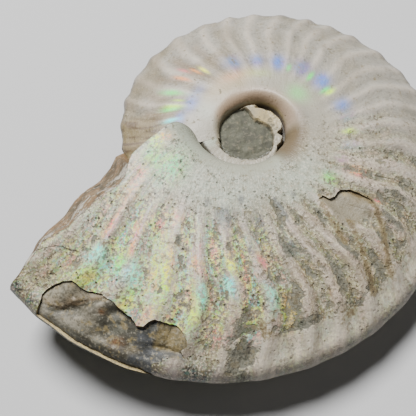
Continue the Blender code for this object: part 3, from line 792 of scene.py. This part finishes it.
# Rainbow sheen, by hue: growth angle, share of radius, reach across and along the ribs, strength.
SHEEN = {
    "cyan": ((-49, 0.69, 1.8, 0.03, 1.3), (-21, 0.73, 2.6, 0.035, 1.1), (-11, 0.736, 2.6, 0.035, 1.1),
        (-42, 0.736, 1.2, 0.04, 1.1), (-61.6, 0.75, 1.6, 0.04, 0.8), (-316.5, 0.59, 1.4, 0.05, 1),
        (-40, 1.3, 3, 0.06, 0.7), (-290, 1.35, 4, 0.06, 0.6)),
    "yellow": ((-49, 0.615, 1.6, 0.03, 1.4), (-27, 0.66, 3, 0.08, 0.7), (-66, 0.8, 2, 0.05, 0.5),
        (-268, 0.55, 1.2, 0.04, 0.9)),
    "green": ((-16.6, 0.71, 1.4, 0.03, 1.1), (-4, 0.34, 8, 0.05, 0.6), (6, 0.37, 4, 0.03, 0.7),
        (-105, 0.455, 4, 0.03, 0.6), (-307.5, 0.6, 1.4, 0.06, 0.9), (-295, 0.63, 1.8, 0.07, 0.8),
        (-203, 0.47, 1.6, 0.025, 0.6), (-186.5, 0.48, 1.4, 0.03, 1), (-171.5, 0.47, 1.4, 0.03, 0.8),
        (-180, 0.34, 10, 0.05, 0.3)),
    "pink": ((-16, 0.61, 1, 0.06, 1.4), (-7.6, 0.63, 1, 0.05, 1.4), (-60, 0.61, 1.8, 0.03, 0.5),
        (-37, 0.615, 2.2, 0.05, 0.7), (-24, 0.5, 3, 0.05, 0.4), (3, 0.43, 4, 0.03, 0.6),
        (-3, 0.5, 3, 0.05, 0.5), (-117, 0.54, 3, 0.04, 0.6), (-111.5, 0.68, 1.2, 0.03, 0.8),
        (-30, 0.84, 1.6, 0.04, 0.5), (-278, 0.66, 1.2, 0.05, 0.5), (-90, 1.35, 4, 0.06, 0.6)),
    "lime": ((-41, 0.79, 1.4, 0.06, 1.2), (-31, 0.73, 1.5, 0.07, 1.1), (13, 0.33, 3, 0.02, 1.2),
        (-24, 0.8, 1.6, 0.06, 0.8), (-12, 0.8, 3, 0.05, 0.6), (-305, 0.585, 1.4, 0.06, 1.3),
        (-299, 0.56, 1, 0.04, 0.7), (-169, 0.484, 1.6, 0.03, 1.1), (-139, 0.49, 1.6, 0.03, 0.9),
        (-225, 0.39, 12, 0.03, 0.15), (-150, 1.3, 4, 0.06, 0.7)),
    "orange": ((-30, 0.65, 1, 0.05, 1), (14, 0.3, 3, 0.02, 1.3), (-283, 0.625, 1.2, 0.06, 0.9),
        (-273, 0.59, 1, 0.04, 0.8), (-250, 0.4, 12, 0.04, 0.22)),
    "violet": ((-119, 0.46, 4, 0.03, 0.5), (-283, 0.46, 6, 0.04, 0.7), (-246, 0.5, 6.5, 0.06, 1.1),
        (-195, 0.505, 5.5, 0.055, 1.3), (-149, 0.5, 4, 0.045, 0.6), (-220, 1.4, 5, 0.05, 0.7)),
    "blue": ((-314, 0.52, 5, 0.035, 0.8), (-298, 0.46, 8, 0.045, 0.9), (-228, 0.49, 4.5, 0.05, 0.8),
        (-212, 0.49, 5, 0.055, 1.2), (-179, 0.5, 4.6, 0.05, 1.3), (-158, 0.5, 4, 0.045, 0.9),
        (-130, 0.5, 3, 0.04, 0.5))}
sheen, tint = np.zeros(len(marks_at)), np.zeros((len(marks_at), 3))
for hue, marks in SHEEN.items():
    weight = sum(strength * spot(*at) for *at, strength in marks)
    tint += weight[:, None] * tone(hue, SHEEN_CHROMA)
    sheen += weight
tint = (tint + 1e-4 * tone("yellow")) / (sheen + 1e-4)[:, None]
sheen = np.minimum(sheen, 1)
# Fine glitter of mixed hues on the newest part of both flanks, mostly between the ribs.
glitter = ease(growth, -78, -48) * ease(rho, 0.42, 0.54) * ease(rho, 0.93, 0.85)
glitter = glitter * (0.45 + 0.55 * valley) * (0.25 + 1.1 * patchy)
glitter = glitter * (1 - 0.55 * ease(growth, -14, -5))
glitter = np.maximum(glitter, 0.18 * ease(growth, -20, -5) * ease(rho, 0.28, 0.34))
glitter = np.maximum(glitter, 0.1 * near * flank)
speckle = near * (0.7 * ease(rho, 0.24, 0.29) + 0.3 * ease(rho, 0.38, 0.58))
speckle = (speckle + 0.22 * far * flank) * (1 - 0.55 * keel_band)
speckle = speckle + 0.3 * ease(growth, -16, -10) * (rho < 0.5) * (rho > 0.24)
# Fine crack that runs in from the broken end: how far each point lies from it, in millimetres.
crack_line = np.interp(age, (-1.2, 0.4, 1.2, 2.4, 4.4, 6),
                       (0.853, 0.82, 0.805, 0.79, 0.777, 0.764))
crack = np.where((growth > -6.2) & (growth < 3.5), (across - crack_line) * outer * 1000, 50)


class Wire:
    # One socket of a material's nodes. Sums and products of wires add their own Math nodes.
    def __init__(self, tree, socket=None):
        self.tree = tree
        self.socket = socket

    def add(self, kind, settings, sockets, output=0):
        node = self.tree.nodes.new(kind)
        for name, value in settings.items():
            if name == "stops":
                ramp = node.color_ramp
                while len(ramp.elements) < len(value):
                    ramp.elements.new(0.5)
                for element, (position, colour) in zip(ramp.elements, value):
                    element.position = position
                    element.color = (*colour, 1)
            else:
                setattr(node, name, value)
        for name, value in sockets.items():
            if isinstance(value, Wire):
                self.tree.links.new(value.socket, node.inputs[name])
            else:
                node.inputs[name].default_value = value
        return Wire(self.tree, node.outputs[output])

    def sum(self, operation, first, second):
        return self.add("ShaderNodeMath", {"operation": operation}, {0: first, 1: second})

    __add__ = __radd__ = lambda self, other: self.sum("ADD", self, other)
    __mul__ = __rmul__ = lambda self, other: self.sum("MULTIPLY", self, other)
    __sub__ = lambda self, other: self.sum("SUBTRACT", self, other)
    __rsub__ = lambda self, other: self.sum("SUBTRACT", other, self)

    def fade(self, low, high):
        # 0 below low, 1 above high, and smooth between.
        return self.add("ShaderNodeMapRange", {"interpolation_type": "SMOOTHSTEP"},
                        {"Value": self, "From Min": low, "From Max": high})

    def stretch(self, x, y, z):
        return self.add("ShaderNodeVectorMath", {"operation": "MULTIPLY"}, {0: self, 1: (x, y, z)})

    def grain(self, size, detail=2):
        # Noise on a vector in millimetres, with lumps of the given size.
        return self.add("ShaderNodeTexNoise", {}, {"Vector": self, "Scale": 1 / size, "Detail": detail,
                                                   "Roughness": 0.6})

    def cells(self, size):
        return self.add("ShaderNodeTexVoronoi", {}, {"Vector": self, "Scale": 1 / size})

    def read(self, name, output="Fac"):
        # Values kept on the shell's points.
        return self.add("ShaderNodeAttribute", {"attribute_name": name}, {}, output)

    def over(self, amount, colour, blend="MIX"):
        # This colour with another, or a pigment by its name, brushed over it.
        if isinstance(colour, str):
            colour = (*tone(colour), 1)
        return self.add("ShaderNodeMix", {"data_type": "RGBA", "blend_type": blend},
                        {0: amount, 6: self, 7: colour}, 2)

    def bumped(self, height, distance):
        return self.add("ShaderNodeBump", {}, {"Height": height, "Distance": distance, "Strength": 1})


def open_material(material):
    # Its nodes, its Principled surface, places on the shell in millimetres, and its paint.
    material.use_nodes = True
    tree = material.node_tree
    start = Wire(tree)
    place = start.add("ShaderNodeTexCoord", {}, {}, "Object").stretch(1000, 1000, 1000)
    return start, tree.nodes["Principled BSDF"], place, start.read("paint", "Color")


def pigment_mix(start, amount, first, second):
    return start.add("ShaderNodeMix", {"data_type": "RGBA"},
                     {0: amount, 6: (*tone(first), 1), 7: (*tone(second), 1)}, 2)


def drive(surface, **wires):
    for name, value in wires.items():
        socket = surface.inputs[name.replace("_", " ")]
        if isinstance(value, Wire):
            value.tree.links.new(value.socket, socket)
        else:
            socket.default_value = value


start, surface, place, colour = open_material(materials["nacre"])
rough_at, streaks_at, bared_at = start.read("speckle"), start.read("streaks"), start.read("bared")
flow_at = start.read("flow", "Vector")
mid, fine, finer = place.grain(1.7, 4), place.grain(0.66, 3), place.grain(0.4, 2)
streak = flow_at.stretch(1, 0.18, 1).grain(0.85, 3)
hair = flow_at.stretch(1, 0.1, 1).grain(0.3, 2)
chalky = (start.read("crest") + 1.8 * (mid - 0.5) + 1.6 * (place.grain(5, 3) - 0.5)).fade(0.38, 0.88)
grimy = rough_at * (1 - 0.35 * chalky)
clumps = 0.35 + 1.2 * place.grain(3.2, 3).fade(0.44, 0.58)
bruised = (start.read("bruise") + 1.1 * (mid - 0.5) + 0.9 * (fine - 0.5)).fade(0.3, 0.8)
GRIME_FILM = (0.41, 0.395, 0.335, 1)
colour = (colour.over(0.46 * chalky * rough_at, "blush")
          .over(0.45 * grimy * mid.fade(0.46, 0.6), "yellow_film")
          .over(0.22 * streaks_at * streak.fade(0.5, 0.62), "white")
          .over(0.35 * streaks_at * streak.fade(0.5, 0.38), "clay")
          .over(clumps * grimy * fine.fade(0.5, 0.6), GRIME_FILM, "MULTIPLY")
          .over(0.4 * grimy * finer.fade(0.53, 0.62), "white")
          .over(0.8 * bruised, "slate")
          .over(0.55 * bruised * finer.fade(0.5, 0.58), "stone_dark"))
# Glitter: specks of mixed hues in short streaks along the ribs.
RAINBOW = ((0.1, "pink"), (0.24, "orange"), (0.36, "yellow"), (0.48, "lime"), (0.57, "green"),
           (0.66, "cyan"), (0.76, "violet"), (0.88, "pink"))
hue = 0.5 + 2.4 * (flow_at.stretch(1, 0.45, 1).grain(2, 4) - 0.5) + 0.6 * (finer - 0.5)
rainbow = hue.add("ShaderNodeValToRGB", {
    "stops": [(position, tone(name, SHEEN_CHROMA)) for position, name in RAINBOW]}, {"Fac": hue})
glitter_at = start.read("glitter")
specks = fine.fade(0.54, 0.46) * (1 - 0.5 * chalky)
colour = (colour.over(0.46 * glitter_at * specks, rainbow)
          .over(0.65 * glitter_at * place.grain(0.5, 2).fade(0.56, 0.63) * mid.fade(0.4, 0.52),
                "stone_dark")
          .over(0.5 * glitter_at * specks * finer.fade(0.55, 0.62), "glint"))
shine = (start.read("sheen") * (1 - 0.72 * rough_at * fine.fade(0.48, 0.55))
         * (1 - 0.4 * rough_at * finer.fade(0.49, 0.56)) * (1 - 0.25 * rough_at * mid.fade(0.52, 0.6)))
colour = colour.over(shine, start.read("tint", "Color").over(0.28 * rough_at, rainbow))
# Flaked patches have ragged edges and mottled olive-grey stone inside.
bare = (start.read("flake") + 1 * (mid - 0.5) + 0.9 * (fine - 0.5)).fade(0.26, 0.6)
stone = (pigment_mix(start, fine.fade(0.4, 0.58), "stone_dark", "olive")
         .over(0.6 * mid.fade(0.52, 0.62), "yellow_film")
         .over(0.6 * finer.fade(0.55, 0.64), "sand")
         .over(0.5 * place.grain(0.6, 2).fade(0.56, 0.62), "dark")
         .over(0.65 * start.read("flake").fade(0.85, 1.15), "dark"))
bared_stone = (start.read("paint", "Color").over(0.35 * mid.fade(0.48, 0.6), "clay")
               .over(0.35 * fine.fade(0.54, 0.64), "grime"))
stained = start.read("stain") + 1.8 * (fine - 0.5) + 1.2 * (mid - 0.5)
# Pits: small dark specks in clusters, thickest on the newest part of the flank.
pits = place.cells(1.15).fade(0.24, 0.13) * place.grain(2.4, 2).fade(0.47, 0.56)
pits = pits * (0.1 + 0.9 * rough_at) * (1 - 0.5 * chalky) * (1 - bared_at)
gap = start.read("crack") + 1.2 * (mid - 0.5) + 0.6 * (fine - 0.5)
crack_at = (gap * gap).fade(0.03, 0.005)
colour = (colour.over(0.92 * bare, stone).over(bared_at, bared_stone)
          .over(0.7 * stained.fade(0.18, 0.6), "khaki").over(0.6 * stained.fade(0.52, 0.9), "brown")
          .over(0.85 * pits, "dark").over(0.75 * crack_at, "dark"))
height = (0.5 * hair + 0.7 * streak + 1 * fine * rough_at + 0.5 * finer + 0.8 * mid * rough_at
          - 1 * bare - 1.6 * pits - 1.2 * crack_at)
drive(surface, Base_Color=colour, Roughness=0.46 + 0.3 * bare + 0.12 * fine, Coat_Weight=0.15 * (1 - bare),
      Normal=start.bumped(height, 0.00013), Coat_Roughness=0.3)


# Stone in the umbilicus: grey-green, lumpy, with pale specks; it set where the middle had rotted
# out. Stone and older shell are told apart by how deep they lie. The groove round the stone, a slit
# and two gaps where the last whorl rests on the older one are darkened with painted shade.
bowl = ease(reach_here, 0.0101, 0.0097) * ease(depth_here, 0.006, 0.0058)
lay("grey", ease(depth_here, 0.0053, 0.005) * ease(reach_here, 0.006, 0.0057))
groove = bowl * ease(depth_here, 0.0052, 0.0046) * ease(reach_here, 0.0056, 0.006)
# Painted shadow: the groove between the stone and the outer wall is painted dark.
lay("dark", 0.9 * groove)
bearing = np.degrees(np.arctan2(marks_at[:, 1], marks_at[:, 0]))
ring = bowl * (1 - groove) * ease(depth_here, 0.0052, 0.0054)
lay("cream", ring)
step_up = np.clip((depth_here - 0.0047) / 0.0009, 0, 1) * (reach_here < 0.0068) * bowl
lay("clay", 0.9 * 4 * step_up * (1 - step_up))
lay("bone", 0.85 * ring * ease(reach_here, 0.003, 0.0033) * np.exp(-((bearing - 42) / 36) ** 2))
# Painted shade in the slit under the last whorl's edge.
slit = ease(growth, -18, -6) * (growth < 24) * (rho < 0.3)
lay("dark", 0.95 * slit * ease(np.abs(seam_radius(growth) - 0.0003 - reach_here), 0.0009, 0.0005))
# Painted shade in two gaps along the seam where the last whorl rests on the older one.
near_seam = ease(np.abs(seam_radius(growth) - 0.0002 - reach_here), 0.0007, 0.0003)
near_seam = near_seam * (growth > -SEAM_STEP) * (marks_at[:, 2] > 0)
for gap_bearing, gap_width in ((-121, 3), (-59, 5)):
    lay("dark", 0.85 * near_seam * np.exp(-((bearing - gap_bearing) / gap_width) ** 2))

start, surface, place, colour = open_material(materials["filling"])
fine, lumps = place.grain(0.7, 3), place.grain(1.9, 3)
colour = (colour.over(0.65 * lumps.fade(0.5, 0.58), "stone_dark")
          .over(0.28 * lumps.fade(0.46, 0.38), "olive").over(0.3 * fine.fade(0.54, 0.64), "sand"))
drive(surface, Base_Color=colour, Roughness=0.75 + 0.15 * fine, Normal=start.bumped(fine + lumps, 0.00012))


# Bare stone in the windows: the mould that filled the living chamber, a smooth tan patch, hollows and a
# step edge in painted shade, a pale ridge partly painted highlight, rusty spots by the keel, and warm
# beige stone on the flank.
def touched(name):
    # Marks the points on the faces of one material.
    index = shell.data.materials.find(name)
    marked = np.zeros(len(marks_at), bool)
    for polygon in shell.data.polygons:
        if polygon.material_index == index:
            marked[list(polygon.vertices)] = True
    return marked


on_mould = touched("mould")
lay("stone_dark", 1 * on_mould)
# Dark stone, painted darker still towards the keel: painted shade where the floor turns down.
lay("dark", on_mould * (0.45 + 0.35 * ease(across, 0.94, 0.97)))
patch = ease(np.interp(age, *zip(*PATCH_EDGE)) - across, 0, 0.008) * ease(growth, -21, -19)
lay("sand", on_mould * patch)
lay("khaki", 0.45 * on_mould * patch)
lay("olive", 0.4 * on_mould * patch)
lay("cream", 0.35 * on_mould * patch * ease(blotch, 0.4, 0.6))
tail = ease(age, 32.8, 33.8) * ease(across, 0.925, 0.913)
lay("steel", 0.8 * on_mould * ease(age, 28.5, 30) * (1 - tail))
lay("khaki", 0.95 * on_mould * tail)
# The ridge painted pale: partly its own pale stone, partly painted highlight where it catches the light.
lay("cream", on_mould * near_line(growth, across, MOULD_RIDGE, 0.0013))
PATCH_LINE = tuple((-turn, share + 0.004) for turn, share in PATCH_EDGE)
lay("amber", 0.7 * on_mould * patch * near_line(growth, across, PATCH_LINE, 0.0014))
# A dark line along the patch's ragged step edge: painted shade.
jagged = across + 0.01 * cloud(marks_at, 0.0012, 26)
lay("dark", on_mould * near_line(growth, jagged, PATCH_LINE, 0.0004))
# Hollows in the floor painted dark: painted shade.
HOLLOWS = ((0.7, ((-11, 0.968), (-14.6, 0.925), (-17.5, 0.885)), 0.0008),
           (1, ((-21.5, 0.87), (-24, 0.852)), 0.0009))
for amount, line, width in HOLLOWS:
    lay("dark", amount * on_mould * near_line(growth, across, line, width))
KEEL_SPOTS = (
    (-19.6, 0.876, 0.8, 0.008, "rust"), (-25.6, 0.938, 1.6, 0.018, "rust"),
    (-12.4, 0.886, 0.4, 0.004, "white"), (-18, 0.93, 2.5, 0.02, "sand"),
    (-29.5, 0.945, 1.2, 0.012, "clay"), (-38.6, 0.95, 1.2, 0.02, "clay"),
    (-22, 0.955, 2, 0.012, "sand"), (-24.5, 0.9, 1.5, 0.02, "olive"),
    (-14.5, 0.985, 3, 0.01, "olive"), (-16.5, 0.925, 1.2, 0.01, "cream"))
for *at, pigment in KEEL_SPOTS:
    lay(pigment, 0.9 * on_mould * spot(*at))

# The flank window has one broken edge and fades out on its other sides, so how bare it is
# follows from how deep each point lies under the flank.
flank_level = np.abs(flank_point(growth, rho, 1, rib_relief(growth, rho))[..., 2])
in_flank = (growth < -86) & (growth > -112) & (across > 0.45) & (across < 0.82)
bared = in_flank * ease(flank_level - marks_at[:, 2], 0.00012, 0.00037)
lay("sand", 0.9 * bared)
FLANK_SPOTS = (
    (-97, 0.545, 5, 0.05, "sand"), (-106, 0.6, 2.5, 0.04, "clay"), (-104, 0.541, 1, 0.012, "bone"),
    (-106.4, 0.68, 1.6, 0.025, "brown"), (-102, 0.706, 3, 0.04, "cream"), (-95, 0.66, 3, 0.04, "olive"),
    (-98, 0.77, 2, 0.04, "brown"), (-91, 0.56, 2, 0.05, "clay"), (-92, 0.516, 1.2, 0.02, "rust"),
    (-87, 0.572, 1.5, 0.02, "olive"), (-101.2, 0.9, 2, 0.03, "clay"))
for *at, pigment in FLANK_SPOTS:
    lay(pigment, 0.7 * (growth > -112) * spot(*at))
lay("cream", 0.7 * in_flank * near_line(growth, across, FLANK_RIDGE, 0.0007))
# Brown stains that have run along the ribs round the flank window.
STAINS = (
    ((-96.4, 0.633), (-94.8, 0.693), (-93.2, 0.762), (-91.2, 0.833), (-89.6, 0.881)),
    ((-107.6, 0.693), (-103.6, 0.754), (-99.2, 0.83), (-96.4, 0.888)),
    ((-93.2, 0.473), (-91.2, 0.519), (-90.8, 0.6), (-90.4, 0.671)),
    ((-107, 0.56), (-108.5, 0.6), (-109.5, 0.64), (-108, 0.69)),
    ((-58.4, 0.833), (-59.6, 0.868)), ((-79.6, 0.9), (-83, 0.899)))
stain = np.max([near_line(growth, across, line, 0.001) for line in STAINS], axis=0)
stain = stain * (0.45 + 0.7 * blotch)

start, surface, place, colour = open_material(materials["mould"])
fine, lumps, swirl = place.grain(0.6, 3), place.grain(1.6, 4), place.grain(3, 3)
colour = (colour.over(0.45 * lumps.fade(0.5, 0.6), "stone_dark")
          .over(0.3 * swirl.fade(0.54, 0.64), "olive")
          .over(0.8 * place.grain(1.1, 3).fade(0.53, 0.6) * swirl.fade(0.44, 0.54), "khaki")
          .over(0.45 * fine.fade(0.55, 0.64), "cream").over(0.5 * fine.fade(0.46, 0.38), "dark"))
drive(surface, Base_Color=colour, Roughness=0.55 + 0.2 * fine, Normal=start.bumped(fine + lumps, 0.00015))

# Edge of the shell layer round the windows: dark and brown painted shade on the undercut walls, clean and
# cream by the keel.
rim = ease(across, 0.965, 0.975) * ease(growth, -36, -32)
start, surface, place, colour = open_material(materials["shell_edge"])
fine = place.grain(0.4, 2)
colour = (pigment_mix(start, fine.fade(0.4, 0.6), "dark", "brown")
          .over((0.55 + 0.45 * fine.fade(0.42, 0.5)) * start.read("rim"), "bone"))
drive(surface, Base_Color=colour, Roughness=0.7, Normal=start.bumped(fine, 0.00008))


# Broken face: brown limestone, tan where the calcite is clean and white where it is crushed along
# the flank. How high a point lies is its share of the half thickness there.
on_break = touched("fracture")
break_growth = np.where(growth < -300, growth + 360, growth)
break_rho = np.clip(reach_here / whorl_radius(break_growth), SHOULDER, 0.999)
height_share = marks_at[:, 2] / (half_thickness(break_rho) * whorl_radius(break_growth) + 1e-4)
lay("brown", on_break)
lay("dark", 0.6 * on_break * ease(blotch, 0.4, 0.3))
lay("dark", 0.8 * on_break * np.exp(-((break_rho - 0.555) / 0.025) ** 2) * ease(height_share, 0.9, 0.7))
crushed = ease(height_share, 0.3, 0.6)

start, surface, place, colour = open_material(materials["fracture"])
fine, lumps = place.grain(0.7, 3), place.grain(2.6, 4)
crust = start.read("crushed") * (place.grain(3.4, 4) + 0.25 * (fine - 0.5)).fade(0.49, 0.53)
colour = (colour.over(0.85 * place.grain(4.2, 3).fade(0.48, 0.52), "amber")
          .over(0.3 * lumps.fade(0.46, 0.6), "clay").over(0.45 * fine.fade(0.53, 0.62), "grime")
          .over(0.85 * crust, "chalk").over(0.55 * crust * fine.fade(0.5, 0.58), "mauve")
          .over(0.25 * place.grain(0.9, 3).fade(0.58, 0.64), "white"))
drive(surface, Base_Color=colour, Roughness=0.8, Normal=start.bumped(fine + lumps + crust, 0.0002))


# Finished shell: flaked patches lie a little lower than the pearly layer round them. The points
# keep the values that the materials read, and the coil is laid down on its flank.
ragged = flake + 0.35 * cloud(marks_at, 0.0016, 22) + 0.25 * cloud(marks_at, 0.0008, 23)
sunk = ease(ragged, 0.35, 0.6) * (1 - bared) * ~on_mould * (depth_here > 0.0003)
shell.data.update()
inward = np.array([vertex.normal for vertex in shell.data.vertices])
lowered = marks_at - inward * (FLAKE_DEPTH * sunk * ease(rho, 0.3, 0.35))[:, None]
shell.data.vertices.foreach_set("co", lowered.ravel())

whole = np.ones((len(marks_at), 1))
KEPT_AS = {1: ("FLOAT", "value"), 3: ("FLOAT_VECTOR", "vector"), 4: ("FLOAT_COLOR", "color")}
for name, values in {
        "paint": np.hstack([paint, whole]), "tint": np.hstack([tint, whole]), "sheen": sheen,
        "flake": ragged * (1 - bared), "bared": bared, "bruise": bruise, "stain": stain,
        "crack": crack, "rim": rim, "crushed": crushed, "glitter": glitter, "crest": worn,
        "streaks": flank * (0.25 + 0.75 * near), "speckle": speckle,
        "flow": np.stack([np.radians(base) * outer * 800, across * outer * 1000,
                          marks_at[:, 2] * 200], -1)}.items():
    kind, field = KEPT_AS[values.size // len(marks_at)]
    shell.data.attributes.new(name, kind, "POINT").data.foreach_set(field, values.ravel())

shell.data.transform(Matrix.Translation(COIL_CENTRE) @ coil_turn.to_4x4())
for vertex in shell.data.vertices:
    vertex.co.z = max(vertex.co.z, 0)
shell.data.set_sharp_from_angle(angle=math.radians(38))
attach(shell, "root")
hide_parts("ammonite")


# Studio: a pale floor, a broad soft light from above and behind, and a weak one from the front.
bpy.ops.mesh.primitive_plane_add(size=4, location=(0, 0, 0))
floor = bpy.context.object
floor.name = "floor"
paper = bpy.data.materials.new("paper")
paper.use_nodes = True
drive(paper.node_tree.nodes["Principled BSDF"], Base_Color=(0.42, 0.42, 0.42, 1), Roughness=0.8)
floor.data.materials.append(paper)

for name, spot_of_lamp, size, power in (("key", (-0.1, 0.2, 0.56), 0.25, 10),
                                        ("fill", (0.35, -0.3, 0.6), 0.6, 0.4)):
    bulb = bpy.data.lights.new(name, "AREA")
    bulb.shape = "DISK"
    bulb.size = size
    bulb.energy = power
    lamp = bpy.data.objects.new(name, bulb)
    bpy.context.scene.collection.objects.link(lamp)
    lamp.location = spot_of_lamp
    aim = Vector((0, 0, 0.01)) - Vector(spot_of_lamp)
    lamp.rotation_euler = aim.to_track_quat("-Z", "Y").to_euler()

world = bpy.data.worlds.new("world")
world.use_nodes = True
world.node_tree.nodes["Background"].inputs["Color"].default_value = (1, 1, 1, 1)
world.node_tree.nodes["Background"].inputs["Strength"].default_value = 0.035
bpy.context.scene.world = world
